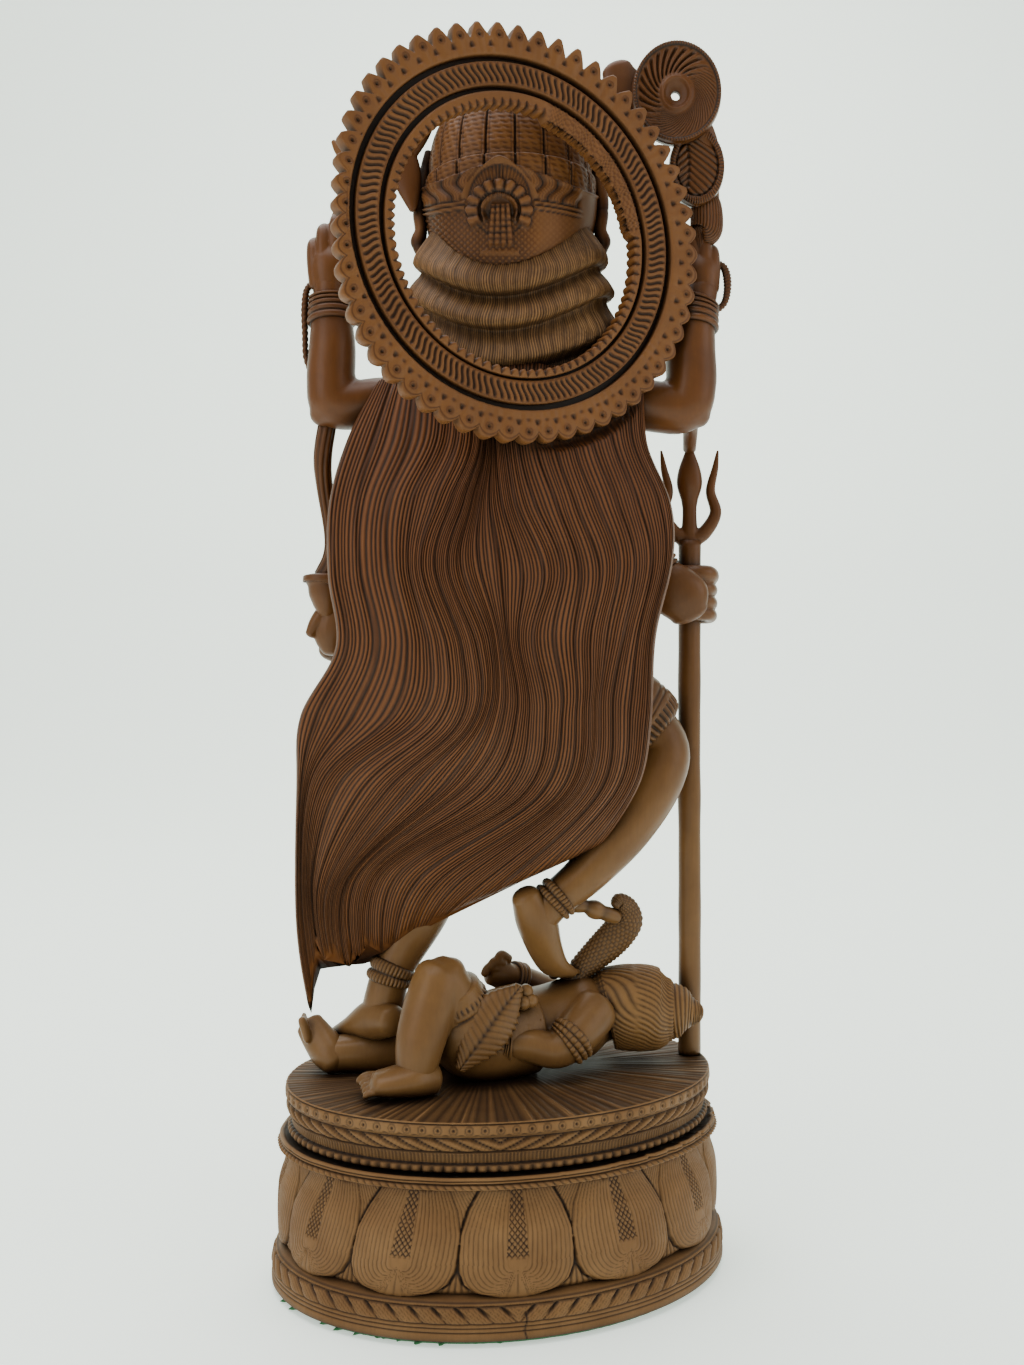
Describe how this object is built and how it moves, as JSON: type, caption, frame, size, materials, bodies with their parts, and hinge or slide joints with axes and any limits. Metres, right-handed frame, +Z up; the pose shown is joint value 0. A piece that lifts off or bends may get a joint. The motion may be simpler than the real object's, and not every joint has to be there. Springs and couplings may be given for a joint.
{
  "type": "carved kali figure",
  "caption": "Carved wooden goddess with long hair, halo and trident, standing on a recumbent figure on an oval lotus pedestal.",
  "frame": {"origin": "centre of the underside", "axes": "+Z up, +X along the pedestal's long side, +Y towards the figure's front, the hair falls on the -Y side"},
  "size_m": [0.1803, 0.138, 0.4677],
  "materials": {
    "wood": "oiled, smooth and softly polished",
    "hair_wood": "carved in strands, dark in the grooves",
    "pedestal_wood": "carved, dry and matt, dark in the grooves",
    "felt": "green felt"
  },
  "bodies": {
    "root": {"felt_pad": "felt", "lotus_base": "pedestal_wood", "platform": "pedestal_wood", "figure_group": "wood", "halo": "wood", "trident": "wood"}
  },
  "joints": []
}
